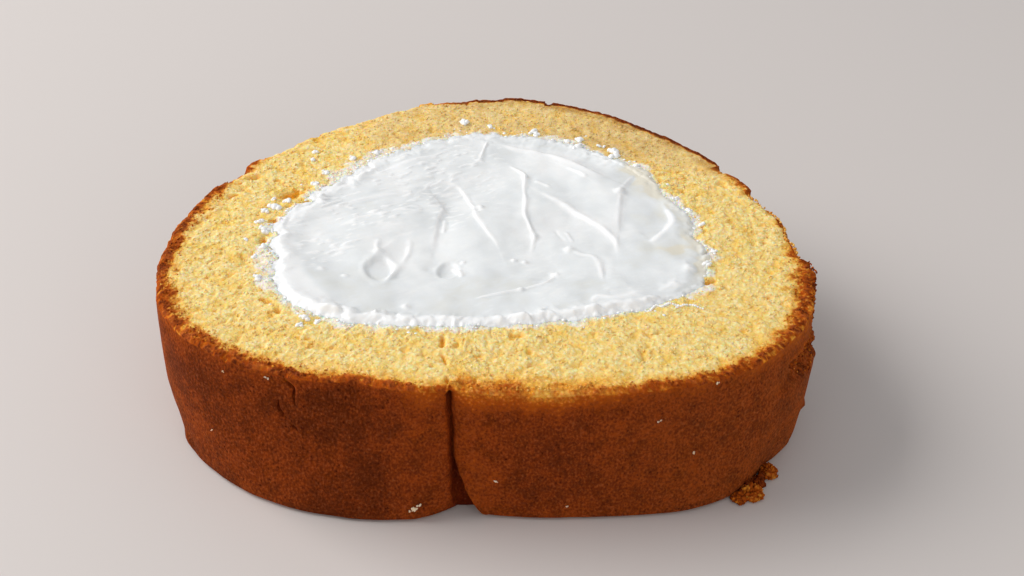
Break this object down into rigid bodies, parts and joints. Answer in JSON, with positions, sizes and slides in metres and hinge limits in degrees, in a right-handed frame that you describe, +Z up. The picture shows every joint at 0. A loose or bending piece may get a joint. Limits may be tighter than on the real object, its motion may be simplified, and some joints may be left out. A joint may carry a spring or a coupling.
{
  "type": "roll cake slice",
  "caption": "Slice of sponge roll cake lying on its cut face: a browned sponge ring with a seam, round a smooth whipped cream filling.",
  "frame": {"origin": "middle of the slice's footprint, on the surface that it lies on", "axes": "+X along the slice's width, -Y towards the roll's flat side with the seam, +Y towards its domed side, +Z up through the slice's thickness"},
  "size_m": [0.0939, 0.0798, 0.0224],
  "materials": {
    "sponge": "matt yellow crumb on the cut faces, satin brown baked skin round the outside",
    "cream": "white whipped cream, smooth with a soft sheen and knife marks"
  },
  "bodies": {
    "root": {"sponge": "sponge", "cream": "cream"}
  },
  "joints": []
}
